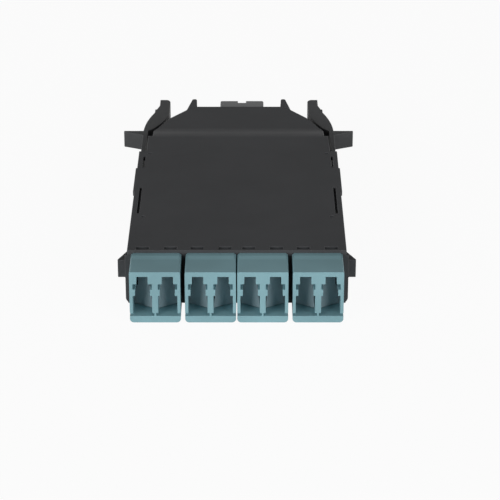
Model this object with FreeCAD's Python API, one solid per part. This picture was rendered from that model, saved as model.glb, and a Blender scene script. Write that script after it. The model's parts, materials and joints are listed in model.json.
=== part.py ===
import FreeCAD, Part
import math
import os
from FreeCAD import Vector

# Fibre cassette: a flat two-shell housing with four duplex adapters across the front, one
# multi-fibre adapter in a narrow neck at the rear, a fibre harness between them, and two
# sprung latch levers along the sides. Millimetres, +X right, +Z up, adapter mouths face -Y.
# The origin is on the resting plane, under the middle of the whole part. Cuts run 1 mm past the
# faces that they open, and pieces 1 mm into what they are joined to.

# Whole part
overall_length = 123.1
front_y = -overall_length / 2

# Housing shells
body_front = 10.86
body_height = 14.68
half_width = 27.45
floor_thickness = 1.5
cover_thickness = 1.4
side_wall = 1.25
inner_wall_run_on = 6.0
shoulder_wall_inset = 1.6
neck_wall_run = 4.5
thick_side_wall = 2.05
inner_wall = 1.1
front_wall = 1.5
flange_lip = 0.55
flange_corner = 1.5
step_drop = 1.08
step_start = 85.9
step_run = 10.6
fit_gap = 0.1

# Plan of the housing behind the full-width part
full_width_end = 76.0
waist_inset = 2.05
corner_y = 90.5
shoulder_inset = 7.75
shoulder_y = 104.0
prong_root_inset = 12.25
prong_root_y = 110.4
neck_half_width = 12.2
neck_end = 113.05
prong_tip_half_width = 13.1
prong_tip_y = 119.2
prong_tip_width = 1.4

# Cover details
corner_notch_inset = 1.2
corner_notch_y = 87.5
ear_overhang = 0.35
ear_start = 48.0
ear_end = 64.0
slot_inset = 1.65
slot_width = 0.6
front_slot = (33.75, 50.8)
rear_slot = (64.6, 72.4)
window_width = 3.25
window_front = 11.6
window_back = 13.25
window_offset = 3.5
mark_radius = 0.55
mark_depth = 0.3
mark_inset = 3.05
mark_rows = (31.7, 74.5)
tongue_thickness = 0.3
tongue_drop = 0.7
hook_width = 4.0
hook_thickness = 1.0
hook_depth = 3.4
hook_nose = 0.45
hook_nose_height = 0.9
front_hook_y = 44.0
rear_hook_y = 84.0

# Side tabs on the housing and barbs on the levers
tab_drop = 1.41
tab_height = 4.72
tab_front = 11.05
tab_stand_out = 2.4
tab_tip_length = 0.6
tab_length = 5.75

# Duplex adapters
adapter_width = 12.6
adapter_roof_drop = 0.88
adapter_side_gap = 0.12
adapter_middle_gap = 0.3
adapter_length = 29.0
adapter_edge = 0.45
lip_corner = 1.0
roof_pad_length = 3.4
roof_pad_height = 0.18
neck_block_width = 11.9
neck_block_bottom = 1.8
neck_block_drop = 0.38
snap_width = 3.0
snap_rise = 0.57

# Ports of a duplex adapter
port_pitch = 6.25
port_width = 4.78
lip_top = 1.81
channel_top = 2.64
channel_depth = 1.5
channel_web = 0.4
port_top = 7.32
outer_rib = 0.6
centre_rib = 0.45
ear_bottom = 9.03
ear_top = 10.5
latch_slot_width = 2.79
latch_slot_roof = 0.38
port_axis_z = 4.7
middle_wall = 1.5
holder_radius = 1.45
holder_length = 8.6
holder_lip = 0.7
rear_port_width = 4.7
rear_slot_width = 3.0
rear_slot_top = 10.4

# Split sleeves and ferrules
sleeve_length = 6.8
sleeve_outer = 0.8
sleeve_slit = 0.25
ferrule_radius = 0.624
ferrule_gap = 0.02
ferrule_length = 9.5
ferrule_flange_radius = 1.25
ferrule_flange_length = 1.6

# Shutter leaves
shutter_depth = 4.4
shutter_slant = 30.0
shutter_thickness = 0.25
shutter_axis_inset = 0.15
shutter_pin_radius = 0.18
shutter_pin_length = 0.28
shutter_pin_gap = 0.05
shutter_free_gap = 0.12
shutter_end_gap = 0.12
recess_gap = 0.06

# Internal plugs on the duplex side
plug_width = 4.52
plug_nose_y = 16.2
plug_back_y = 31.5
plug_wall_gap = 0.5
plug_tail_y = 38.0
plug_tail_radius = 1.5
plug_tail_tip_radius = 0.95
plug_nose_bore = 1.7
plug_nose_spare = 1.0
plug_latch_width = 2.6
plug_latch_thickness = 0.7
plug_latch_rise = 2.7
plug_latch_front = 19.0
plug_latch_heel = 2.0
plug_latch_flat = 1.0
collar_front = 21.6

# Fibres and fan-out block
fibre_radius = 0.45
fibre_pitch = 1.05
fibre_bore_gap = 0.05
fibre_bend = 3.0
fibre_plug_run = 1.0
fibre_straight_end = 5.0
fibre_fan_stagger = 0.5
cable_free_run = 4.5
fan_length = 8.0
fan_width = 10.0
fan_height = 3.4
fan_hole_depth = 4.0
bed_wall = 0.8
bed_lip = 1.2
bed_inset = 1.0
tube_radius = 1.0
tube_hole_depth = 3.0

# Multi-fibre adapter at the rear
rear_x = 0.9
mpo_width = 12.8
mpo_bottom = 2.3
mpo_roof_gap = 0.5
mpo_front = 99.6
mpo_length = 23.0
mpo_mouth_depth = 11.6
mpo_wall = 0.8
mpo_flange_width = 16.4
mpo_flange_rise = 0.1
mpo_flange_length = 1.6
mpo_flange_y = 106.6
mpo_edge = 0.5
keyway_width = 2.4
keyway_length = 7.5
keyway_depth = 0.4
keyway_notch = 1.5
insert_gap = 0.1
insert_mouth_gap = 1.0
insert_plate = 0.7
insert_arm = 0.5
insert_arm_height = 4.6
insert_hook = 0.4
insert_hook_length = 1.2
insert_window_width = 7.0
insert_window_height = 3.2

# Internal multi-fibre plug
ferrule_block_width = 6.4
ferrule_block_height = 2.5
ferrule_block_length = 8.0
guide_pin_radius = 0.35
guide_pin_pitch = 4.6
guide_pin_reach = 2.0
guide_pin_length = 9.5
nose_width = 9.6
nose_roof_gap = 0.75
nose_end_gap = 0.8
shroud_width = 12.2
shroud_drop = 0.4
shroud_length = 12.8
shroud_gap = 0.3
boot_length = 8.0
boot_radius = 3.0
boot_tip_radius = 2.1

# Latch levers
pivot_inset = 1.85
pivot_y = 57.0
pivot_radius = 0.75
pivot_gap = 0.05
pivot_seat_depth = 0.8
eye_radius = 1.6
lever_bottom_gap = 0.35
lever_washer = 0.25
blade_thickness = 1.3
blade_inset = 0.1
bend_start = 98.0
bend_end = 112.8
bend_inset = 2.8
bend_bulge = 0.75
web_start = 98.2
web_corner_y = 100.2
nub_length = 2.5
nub_step = 0.45
pad_inset = 4.05
pad_thickness = 3.0
pad_start = 118.4
pad_end = 123.1
pad_corner = 0.9
pad_corner_length = 2.2
barb_stand_out = 5.45
barb_face = 98.3
barb_ramp_start = 95.1
barb_tip_length = 0.7
lever_travel = 5.0
stop_gap = 0.35

# Lever springs
wire_radius = 0.15
wire_knuckle_radius = 0.17
wire_sides = 8
spring_room_radius = 2.35
coil_radius = 1.15
coil_turns = 3
coil_pitch = 0.42
coil_start_angle = 180
coil_end_angle = 385
arm_bend = 2.2
spring_room_low = 4.8
spring_room_high = 8.8
spring_arm = 7.5
spring_tail = 4.4
spring_tail_gap = 0.4

# Levels and places worked out from the sizes above
cover_under = body_height - cover_thickness
shelf_top = body_height - step_drop
shelf_under = shelf_top - cover_thickness
thick_wall_start = plug_back_y + plug_wall_gap
adapter_height = body_height - adapter_roof_drop
neck_block_top = cover_under - neck_block_drop
snap_top = cover_under + snap_rise
latch_slot_top = neck_block_top - latch_slot_roof
tab_top = cover_under - tab_drop
tab_bottom = tab_top - tab_height
mpo_height = shelf_under - mpo_roof_gap - mpo_bottom
mpo_flange_height = mpo_height + 2 * mpo_flange_rise
nose_height = mpo_height - 2 * mpo_wall - 2 * nose_roof_gap
shroud_height = mpo_height - 2 * shroud_drop
adapter_middle = adapter_length / 2
mpo_back = mpo_front + mpo_length
mpo_meet = mpo_back - mpo_mouth_depth
mpo_axis_z = mpo_bottom + mpo_height / 2
lever_bottom = floor_thickness + lever_bottom_gap
lever_top = tab_top
blade_outer = half_width - blade_inset
blade_inner = blade_outer - blade_thickness
nose_end = mpo_meet - insert_gap / 2 - insert_plate - fit_gap
shroud_back = mpo_front - shroud_gap
shroud_front = shroud_back - shroud_length
boot_front = shroud_front - boot_length
fan_front = boot_front - cable_free_run - fan_length
fibre_fan_turn = fan_front - fibre_straight_end
ferrule_seat_front = mpo_meet - ferrule_block_length - nose_end_gap

# Places across the part: the sides, levers and tabs follow the housing's width
flange_half_width = half_width + flange_lip
waist_half_width = half_width - waist_inset
corner_notch_x = waist_half_width - corner_notch_inset
shoulder_half_width = half_width - shoulder_inset
prong_root_half_width = half_width - prong_root_inset
ear_half_width = half_width + ear_overhang
slot_x = half_width - slot_inset
mark_x = half_width - mark_inset
tab_reach = half_width + tab_stand_out
pivot_x = half_width - pivot_inset
bend_end_x = half_width - bend_inset
pad_outer_x = half_width - pad_inset
pad_inner_x = pad_outer_x - pad_thickness
barb_reach = half_width + barb_stand_out

# One pair of adapters meets in the middle, and one stands by the side walls where there is room
inner_adapter_x = (adapter_width + adapter_middle_gap) / 2
outer_adapter_x = half_width - side_wall - adapter_side_gap - neck_block_width / 2
if outer_adapter_x - inner_adapter_x > adapter_width:
    adapter_centres = (-outer_adapter_x, -inner_adapter_x, inner_adapter_x, outer_adapter_x)
else:
    adapter_centres = (-inner_adapter_x, inner_adapter_x)


def at(x, distance, z):
    """A point, with its depth given from the plane of the adapter mouths."""
    return Vector(x, front_y + distance, z)


def box(x0, x1, d0, d1, z0, z1):
    """A box between two X, two depth and two Z values."""
    return Part.makeBox(x1 - x0, d1 - d0, z1 - z0, at(x0, d0, z0))


def centred_box(x, width, d0, d1, z0, z1):
    return box(x - width / 2, x + width / 2, d0, d1, z0, z1)


def plan_wire(points, z):
    """A closed wire in plan from (x, depth) corners."""
    corners = [at(x, d, z) for x, d in points]
    return Part.makePolygon(corners + corners[:1])


def plan_solid(points, z0, z1):
    face = Part.Face(plan_wire(points, z0))
    return face.extrude(Vector(0, 0, z1 - z0))


def side_solid(points, x0, x1):
    """A profile of (depth, z) corners drawn out along X."""
    corners = [at(x0, d, z) for d, z in points]
    face = Part.Face(Part.makePolygon(corners + corners[:1]))
    return face.extrude(Vector(x1 - x0, 0, 0))


def rod(x, d0, d1, z, radius):
    """A round bar along the depth."""
    return Part.makeCylinder(radius, d1 - d0, at(x, d0, z), Vector(0, 1, 0))


def post(x, d, z0, z1, radius):
    """A round bar standing up."""
    return Part.makeCylinder(radius, z1 - z0, at(x, d, z0), Vector(0, 0, 1))


def cone(x, d0, d1, z, radius0, radius1):
    return Part.makeCone(radius0, radius1, d1 - d0, at(x, d0, z), Vector(0, 1, 0))


def join(shapes):
    """One clean solid from pieces that meet."""
    first, *rest = shapes
    return first.multiFuse(rest).removeSplitter()


def moved(shape, x):
    """A copy of a shape, moved along X."""
    copy = shape.copy()
    copy.translate(Vector(x, 0, 0))
    return copy


def flip(shape):
    """The same shape on the other side of the middle plane."""
    return shape.mirror(Vector(0, 0, 0), Vector(1, 0, 0))


def both_sides(shape):
    return [shape, flip(shape)]


def edges_along_y(shape, places, tolerance=0.01):
    """Edges that run along the depth at the given (x, z) places."""
    found = []
    for edge in shape.Edges:
        extent = edge.BoundBox
        if extent.YLength < tolerance or extent.XLength > tolerance or extent.ZLength > tolerance:
            continue
        for x, z in places:
            if abs(extent.XMin - x) < tolerance and abs(extent.ZMin - z) < tolerance:
                found.append(edge)
    return found


# Housing outline in plan, right half, from the front to the rear
rear_outline = [
    (shoulder_half_width, shoulder_y),
    (prong_root_half_width, prong_root_y),
    (neck_half_width, neck_end),
]


def whole_outline(front_half):
    """Both halves of an outline whose right half is given front to rear."""
    return front_half + [(-x, d) for x, d in reversed(front_half)]


def base_outline():
    front_half = [
        (half_width, body_front),
        (half_width, full_width_end),
        (waist_half_width, full_width_end),
        (waist_half_width, corner_y),
    ]
    return whole_outline(front_half + rear_outline)


def cover_outline():
    """As the base, with ears over the rails and a notch at each rear corner."""
    share = (waist_half_width - corner_notch_x) / (waist_half_width - shoulder_half_width)
    notch_end = corner_y + (shoulder_y - corner_y) * share
    front_half = [
        (half_width, body_front),
        (half_width, ear_start),
        (ear_half_width, ear_start),
        (ear_half_width, ear_end),
        (half_width, ear_end),
        (half_width, full_width_end),
        (waist_half_width, full_width_end),
        (waist_half_width, corner_notch_y),
        (corner_notch_x, corner_notch_y),
        (corner_notch_x, notch_end),
    ]
    return whole_outline(front_half + rear_outline)


def step_curve(level, forwards):
    """The gentle step in the roof: two equal arcs that leave and meet the flats."""
    start = (step_start, level)
    end = (step_start + step_run, level - step_drop)
    middle = ((start[0] + end[0]) / 2, (start[1] + end[1]) / 2)
    radius = (step_run ** 2 + step_drop ** 2) / (4 * step_drop)
    half_angle = math.asin(step_run / 2 / radius) / 2
    sag = radius * (1 - math.cos(half_angle))
    run = radius * math.sin(half_angle)
    first = (start[0] + run, level - sag)
    second = (end[0] - run, end[1] + sag)
    points = [at(0, d, z) for d, z in (start, first, middle, second, end)]
    if not forwards:
        points.reverse()
    return [Part.Arc(*points[0:3]).toShape(), Part.Arc(*points[2:5]).toShape()]


def cover_band():
    """The cover's section from front to rear, drawn out across the whole width."""
    step_end = step_start + step_run
    top_front = at(0, body_front, body_height)
    top_step = at(0, step_start, body_height)
    shelf_front = at(0, step_end, shelf_top)
    shelf_back = at(0, neck_end, shelf_top)
    under_back = at(0, neck_end, shelf_under)
    under_step = at(0, step_end, shelf_under)
    under_front = at(0, step_start, cover_under)
    corner = at(0, body_front, cover_under)
    edges = [Part.LineSegment(top_front, top_step).toShape()]
    edges += step_curve(body_height, True)
    edges.append(Part.LineSegment(shelf_front, shelf_back).toShape())
    edges.append(Part.LineSegment(shelf_back, under_back).toShape())
    edges.append(Part.LineSegment(under_back, under_step).toShape())
    edges += step_curve(cover_under, False)
    edges.append(Part.LineSegment(under_front, corner).toShape())
    edges.append(Part.LineSegment(corner, top_front).toShape())
    face = Part.Face(Part.Wire(edges))
    face.translate(Vector(-2 * half_width, 0, 0))
    return face.extrude(Vector(4 * half_width, 0, 0))


def press_room(distance):
    """How far the pressed lever comes in at a depth, and the gap that it then keeps."""
    return (distance - pivot_y) * math.sin(math.radians(lever_travel)) + stop_gap


def inner_wall_x(distance):
    """Outer face of the base's inner wall, set back to let the pressed lever come in."""
    return blade_inner - press_room(distance)


wall_jog = pivot_y - eye_radius - stop_gap
inner_wall_front_x = pivot_x - eye_radius - stop_gap
inner_wall_rear_y = corner_y + inner_wall_run_on
shoulder_wall_x = shoulder_half_width - shoulder_wall_inset


def cavity_outline():
    """The inside of the base in plan, right half, front to rear."""
    room_x = half_width - side_wall
    thick_x = half_width - thick_side_wall
    jog = wall_jog - inner_wall
    return [
        (room_x, body_front + front_wall),
        (room_x, thick_wall_start),
        (thick_x, thick_wall_start),
        (thick_x, jog),
        (inner_wall_front_x - inner_wall, jog),
        (inner_wall_x(inner_wall_rear_y) - inner_wall, inner_wall_rear_y),
        (shoulder_wall_x - inner_wall, shoulder_y),
        (neck_half_width - inner_wall, shoulder_y + neck_wall_run),
        (neck_half_width - inner_wall, neck_end - front_wall),
    ]


def wall_outline():
    """The outside of the base's walls in plan, right half, front to rear."""
    return [
        (half_width, body_front),
        (half_width, wall_jog),
        (inner_wall_front_x, wall_jog),
        (inner_wall_x(inner_wall_rear_y), inner_wall_rear_y),
        (shoulder_wall_x, shoulder_y),
        (prong_root_half_width, prong_root_y),
        (neck_half_width, neck_end),
    ]


def under_roof():
    """All the room below the cover, to trim what stands on the base."""
    step_end = step_start + step_run
    front_low = at(0, body_front - flange_half_width, -1)
    front_high = at(0, body_front - flange_half_width, cover_under)
    back_high = at(0, overall_length, shelf_under)
    back_low = at(0, overall_length, -1)
    edges = [Part.LineSegment(front_low, front_high).toShape()]
    edges.append(Part.LineSegment(front_high, at(0, step_start, cover_under)).toShape())
    edges += step_curve(cover_under, True)
    edges.append(Part.LineSegment(at(0, step_end, shelf_under), back_high).toShape())
    edges.append(Part.LineSegment(back_high, back_low).toShape())
    edges.append(Part.LineSegment(back_low, front_low).toShape())
    face = Part.Face(Part.Wire(edges))
    face.translate(Vector(-2 * half_width, 0, 0))
    return face.extrude(Vector(4 * half_width, 0, 0))


# Snap hooks of the cover, which catch in windows of the base's walls
def front_wall_face(distance):
    return half_width - thick_side_wall


def rear_wall_face(distance):
    """Inner face of the slanting inner wall."""
    run = inner_wall_rear_y - wall_jog
    share = (distance - wall_jog) / run
    rear_x = inner_wall_x(inner_wall_rear_y)
    return inner_wall_front_x + (rear_x - inner_wall_front_x) * share - inner_wall


def hook_plan(wall_face, distance, near, far, spare=0.0):
    """A strip beside a wall face, from near to far out from it."""
    d0 = distance - hook_width / 2 - spare
    d1 = distance + hook_width / 2 + spare
    return [
        (wall_face(d0) + near, d0),
        (wall_face(d1) + near, d1),
        (wall_face(d1) + far, d1),
        (wall_face(d0) + far, d0),
    ]


hook_places = ((front_wall_face, front_hook_y), (rear_wall_face, rear_hook_y))
hook_foot = cover_under - hook_depth


def cover_hooks():
    """Four tongues under the cover, each with a nose that points outwards."""
    hooks = []
    for wall_face, distance in hook_places:
        stem = hook_plan(wall_face, distance, -fit_gap - hook_thickness, -fit_gap)
        nose = hook_plan(wall_face, distance, -fit_gap - hook_thickness / 2, hook_nose)
        hooks += both_sides(plan_solid(stem, hook_foot, cover_under + cover_thickness / 2))
        hooks += both_sides(plan_solid(nose, hook_foot, hook_foot + hook_nose_height))
    return hooks


def hook_windows():
    """Windows through the base's walls for the hooks' noses."""
    windows = []
    for wall_face, distance in hook_places:
        through = hook_plan(wall_face, distance, -inner_wall, 2 * thick_side_wall, fit_gap)
        low = hook_foot - fit_gap
        windows += both_sides(plan_solid(through, low, hook_foot + hook_nose_height + fit_gap))
    return windows


# Lower shell
def adapter_notches():
    """The comb in the front wall that the adapters pass through."""
    width = neck_block_width + 2 * fit_gap
    low = neck_block_bottom - fit_gap
    back = body_front + front_wall + 1
    return [centred_box(x, width, body_front - 1, back, low, cover_under + 1) for x in adapter_centres]


def front_flange():
    """The front wall, a little wider than the sides, with round lower corners."""
    wall = centred_box(0, 2 * flange_half_width, body_front, body_front + front_wall, 0, cover_under)
    corners = [(-flange_half_width, 0), (flange_half_width, 0)]
    return wall.makeFillet(flange_corner, edges_along_y(wall, corners))


def side_tab():
    """The front stop tab: flat towards the front, slanting back to the side."""
    root = half_width - side_wall / 2
    points = [
        (root, tab_front),
        (tab_reach, tab_front),
        (tab_reach, tab_front + tab_tip_length),
        (half_width, tab_front + tab_length),
        (root, tab_front + tab_length),
    ]
    return plan_solid(points, tab_bottom, tab_top)


def prong():
    """A guard horn beside the rear adapter."""
    radius = prong_tip_width / 2
    tip_y = prong_tip_y - radius
    points = [
        (neck_half_width, neck_end),
        (prong_root_half_width, prong_root_y),
        (prong_tip_half_width + radius, tip_y),
        (prong_tip_half_width - radius, tip_y),
    ]
    tip = post(prong_tip_half_width, tip_y, floor_thickness, shelf_top, radius)
    return join([plan_solid(points, floor_thickness, shelf_top), tip])


def rear_adapter_ribs():
    """Two cross ribs that hold the rear adapter's flange between them, open where it passes."""
    wall_x = neck_half_width - inner_wall / 2
    low = floor_thickness / 2
    top = mpo_bottom + mpo_height - mpo_wall
    front_back = mpo_flange_y - fit_gap
    rear_front = mpo_flange_y + mpo_flange_length + fit_gap
    front_rib = box(-wall_x, wall_x, front_back - front_wall, front_back, low, top)
    rear_rib = box(-wall_x, wall_x, rear_front, rear_front + front_wall, low, top)
    width = mpo_width + 2 * fit_gap
    doorway = centred_box(rear_x, width, mpo_front, mpo_back, mpo_bottom, body_height)
    return [front_rib.cut(doorway), rear_rib.cut(doorway)]


def fan_bed():
    """The raised bed that holds the fan-out block, with a lip along each side."""
    low = floor_thickness / 2
    seat = mpo_axis_z - fan_height / 2
    lip_x = fan_width / 2 + fit_gap
    front = fan_front + bed_inset
    back = fan_front + fan_length - bed_inset
    bed = centred_box(0, 2 * lip_x + 2 * bed_wall, front, back, low, seat)
    lip = box(lip_x, lip_x + bed_wall, front, back, low, seat + bed_lip)
    return [moved(shape, rear_x) for shape in [bed] + both_sides(lip)]


def locating_tongue():
    """A thin tongue on the side wall that stands in the cover's front slot."""
    d0, d1 = front_slot
    half = tongue_thickness / 2
    low = cover_under - cover_thickness
    spare = 2 * fit_gap
    return box(slot_x - half, slot_x + half, d0 + spare, d1 - spare, low, body_height - tongue_drop)


def pivot_boss():
    return post(pivot_x, pivot_y, floor_thickness / 2, floor_thickness + lever_washer, eye_radius - fit_gap)


def pivot_hole(z0, z1, gap):
    return post(pivot_x, pivot_y, z0, z1, pivot_radius + gap)


def rear_doorway():
    """The opening in the rear wall that the multi-fibre adapter passes through."""
    width = mpo_width + 2 * fit_gap
    low = mpo_bottom - fit_gap
    return centred_box(rear_x, width, neck_end - 2 * front_wall, neck_end + 1, low, body_height)


def build_base():
    floor = plan_solid(base_outline(), 0, floor_thickness)
    walls = plan_solid(whole_outline(wall_outline()), 0, cover_under)
    cavity = plan_solid(whole_outline(cavity_outline()), floor_thickness, body_height)
    inside = [walls.cut(cavity), front_flange()] + rear_adapter_ribs() + fan_bed()
    roof_room = under_roof()
    trimmed = [shape.common(roof_room) for shape in inside]
    extras = both_sides(side_tab()) + both_sides(prong()) + both_sides(locating_tongue())
    extras += both_sides(pivot_boss())
    shell = join([floor] + trimmed + extras)
    pin_seat = pivot_hole(floor_thickness - pivot_seat_depth, floor_thickness + 1, ferrule_gap)
    cuts = adapter_notches() + hook_windows() + [rear_doorway()] + both_sides(pin_seat)
    return shell.cut(cuts)


# Cover
def cover_windows():
    windows = []
    for centre in adapter_centres:
        for side in (-1, 1):
            x = centre + side * window_offset
            low = cover_under - 1
            windows.append(centred_box(x, window_width, window_front, window_back, low, body_height + 1))
    return windows


def edge_slots():
    slots = []
    for d0, d1 in (front_slot, rear_slot):
        slot = centred_box(slot_x, slot_width, d0, d1, cover_under - 1, body_height + 1)
        slots += both_sides(slot)
    return slots


def round_marks():
    marks = []
    for distance in mark_rows:
        mark = post(mark_x, distance, body_height - mark_depth, body_height + 1, mark_radius)
        marks += both_sides(mark)
    return marks


def build_cover():
    plate = cover_band().common(plan_solid(cover_outline(), shelf_under - 1, body_height + 1))
    boss_low = lever_top + fit_gap
    boss_high = cover_under + cover_thickness / 2
    boss = post(pivot_x, pivot_y, boss_low, boss_high, eye_radius - fit_gap)
    cover = join([plate] + cover_hooks() + both_sides(boss))
    pin_seat = pivot_hole(lever_top, cover_under + pivot_seat_depth, ferrule_gap)
    return cover.cut(cover_windows() + edge_slots() + round_marks() + both_sides(pin_seat))


# Duplex adapters
def port_section(side, d0, d1):
    """One port's opening; side is +1 when its outer wall faces +X."""
    half = port_width / 2
    outer = half - outer_rib
    centre = half - centre_rib
    slot = latch_slot_width / 2
    ribs = sorted((side * outer, -side * centre))
    return [
        box(-half, half, d0, d1, lip_top, port_top),
        box(ribs[0], ribs[1], d0, d1, port_top - 1, ear_bottom + 1),
        box(-half, half, d0, d1, ear_bottom, ear_top),
        box(-slot, slot, d0, d1, ear_top - 1, latch_slot_top),
    ]


def rear_port_section():
    half = rear_port_width / 2
    slot = rear_slot_width / 2
    d0 = adapter_middle + middle_wall / 2
    back = adapter_length + 1
    return [
        box(-half, half, d0, back, port_axis_z - half, port_axis_z + half),
        box(-slot, slot, d0, back, port_axis_z, rear_slot_top),
    ]


def sleeve_holder():
    """The round holder that stands out both sides of the middle wall."""
    half = holder_length / 2
    return rod(0, adapter_middle - half, adapter_middle + half, port_axis_z, holder_radius)


def sleeve_seat():
    """The bore that holds the split sleeve, narrowed to a lip at each end."""
    half = sleeve_length / 2 + ferrule_gap
    seat_radius = sleeve_outer + 2 * ferrule_gap
    seat = rod(0, adapter_middle - half, adapter_middle + half, port_axis_z, seat_radius)
    reach = holder_length / 2 + 1
    through = rod(0, adapter_middle - reach, adapter_middle + reach, port_axis_z, holder_lip)
    return [seat, through]


shutter_top = port_top - shutter_end_gap
shutter_bottom = lip_top + shutter_end_gap
shutter_axis_x = port_width / 2 + shutter_axis_inset
shutter_reach = shutter_axis_x + port_width / 2 - shutter_free_gap
shutter_length = shutter_reach / math.cos(math.radians(shutter_slant))
crest_top = latch_slot_top - shutter_end_gap
crest_reach = shutter_axis_x + latch_slot_width / 2 - shutter_free_gap
crest_length = crest_reach / math.cos(math.radians(shutter_slant))


def shutter_recess(side):
    """The pocket that the open leaf folds into, the room for its crest, and its two pin holes."""
    depth = shutter_axis_x + shutter_thickness / 2 + recess_gap
    ends = sorted((side * (recess_gap - port_width / 2), -side * depth))
    front = shutter_depth - shutter_thickness / 2 - recess_gap
    back = shutter_depth + shutter_length + 2 * recess_gap
    pocket = box(ends[0], ends[1], front, back, lip_top, port_top)
    crest_ends = sorted((side * latch_slot_width / 2, -side * depth))
    crest_back = shutter_depth + crest_length + 2 * recess_gap
    crest_room = box(crest_ends[0], crest_ends[1], front, crest_back, port_top - 1, latch_slot_top)
    reach = shutter_pin_length + shutter_pin_gap
    radius = shutter_pin_radius + shutter_pin_gap
    axis_x = -side * shutter_axis_x
    hole = post(axis_x, shutter_depth, shutter_bottom - reach, crest_top + reach, radius)
    return [pocket, crest_room, hole]


def adapter_blank(x):
    """The outside of one adapter: the wide front block and the narrower rear block."""
    half = adapter_width / 2
    block = centred_box(x, adapter_width, 0, body_front, 0, adapter_height)
    block = block.makeFillet(lip_corner, edges_along_y(block, [(x - half, 0), (x + half, 0)]))
    roof = [(x - half, adapter_height), (x + half, adapter_height)]
    block = block.makeFillet(adapter_edge, edges_along_y(block, roof))
    rear_front = body_front - 1
    rear = centred_box(x, neck_block_width, rear_front, adapter_length, neck_block_bottom, neck_block_top)
    pad_width = adapter_width - 2 * adapter_edge
    pad_top = adapter_height + roof_pad_height
    pad = centred_box(x, pad_width, body_front - roof_pad_length, body_front, adapter_height - 1, pad_top)
    snap_front = window_front + fit_gap
    snap_back = window_back - fit_gap
    snaps = []
    for side in (-1, 1):
        snap_x = x + side * window_offset
        snaps.append(centred_box(snap_x, snap_width, snap_front, snap_back, neck_block_top - 1, snap_top))
    return join([block, rear, pad] + snaps)


def corner_channels(x):
    """The low channel in the front face that runs out through both side walls."""
    half = adapter_width / 2 + 1
    web = channel_web / 2
    right = box(x + web, x + half, -1, channel_depth, lip_top, channel_top)
    left = box(x - half, x - web, -1, channel_depth, lip_top, channel_top)
    return [left, right]


def build_adapter(x):
    openings = corner_channels(x)
    for side in (-1, 1):
        front = port_section(side, -1, adapter_middle - middle_wall / 2)
        hollow = join(front).fuse(join(rear_port_section())).cut(sleeve_holder())
        for shape in [hollow] + shutter_recess(side) + sleeve_seat():
            shape.translate(Vector(x + side * port_pitch / 2, 0, 0))
            openings.append(shape)
    return adapter_blank(x).cut(openings)


def build_sleeve(port_x):
    """A split sleeve: a thin tube slit along its length."""
    d0 = adapter_middle - sleeve_length / 2
    d1 = adapter_middle + sleeve_length / 2
    bore = ferrule_radius + ferrule_gap
    tube = rod(port_x, d0, d1, port_axis_z, sleeve_outer).cut(rod(port_x, d0, d1, port_axis_z, bore))
    slit = centred_box(port_x, sleeve_slit, d0, d1, port_axis_z, port_axis_z + 2 * sleeve_outer)
    return tube.cut(slit)


def build_shutter(port_x, side):
    """A leaf on two pins by the centre wall: its crest closes the latch slot above the port."""
    axis_x = port_x - side * shutter_axis_x
    front = shutter_depth - shutter_thickness / 2
    back = shutter_depth + shutter_thickness / 2
    ends = sorted((axis_x, axis_x + side * shutter_length))
    leaf = box(ends[0], ends[1], front, back, shutter_bottom, shutter_top)
    crest_ends = sorted((axis_x, axis_x + side * crest_length))
    crest = box(crest_ends[0], crest_ends[1], front, back, shutter_top - 1, crest_top)
    plate = join([leaf, crest])
    plate.rotate(at(axis_x, shutter_depth, 0), Vector(0, 0, 1), side * shutter_slant)
    low = shutter_bottom - shutter_pin_length
    high = crest_top + shutter_pin_length
    return join([plate, post(axis_x, shutter_depth, low, high, shutter_pin_radius)])


# Internal plugs, one behind each duplex port
def revolved(port_x, z, profile):
    """A turned piece about a depth-wise axis from (depth, radius) corners."""
    corners = [at(port_x, d, z + r) for d, r in profile]
    face = Part.Face(Part.makePolygon(corners + corners[:1]))
    return face.revolve(at(port_x, 0, z), Vector(0, 1, 0), 360)


def build_ferrule(port_x):
    """A ceramic ferrule with its collar."""
    tip = adapter_middle + ferrule_gap
    back = tip + ferrule_length
    collar_back = collar_front + ferrule_flange_length
    profile = [
        (tip, 0),
        (tip, ferrule_radius),
        (collar_front, ferrule_radius),
        (collar_front, ferrule_flange_radius),
        (collar_back, ferrule_flange_radius),
        (collar_back, ferrule_radius),
        (back, ferrule_radius),
        (back, 0),
    ]
    return revolved(port_x, port_axis_z, profile)


def plug_cavity(port_x):
    """The plug's hollow: open nose, ferrule seat and fibre bore."""
    spare = 2 * ferrule_gap
    nose_back = adapter_middle + holder_length / 2 + plug_nose_spare
    seat_front = collar_front - spare
    seat_back = collar_front + ferrule_flange_length + spare
    ferrule_back = adapter_middle + ferrule_length + 2 * spare
    bore = ferrule_radius + spare
    profile = [
        (plug_nose_y - 1, 0),
        (plug_nose_y - 1, plug_nose_bore),
        (nose_back, plug_nose_bore),
        (nose_back, bore),
        (seat_front, bore),
        (seat_front, ferrule_flange_radius + spare),
        (seat_back, ferrule_flange_radius + spare),
        (seat_back, bore),
        (ferrule_back, bore),
        (ferrule_back, fibre_radius + fibre_bore_gap),
        (plug_tail_y + 1, fibre_radius + fibre_bore_gap),
        (plug_tail_y + 1, 0),
    ]
    return revolved(port_x, port_axis_z, profile)


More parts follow.
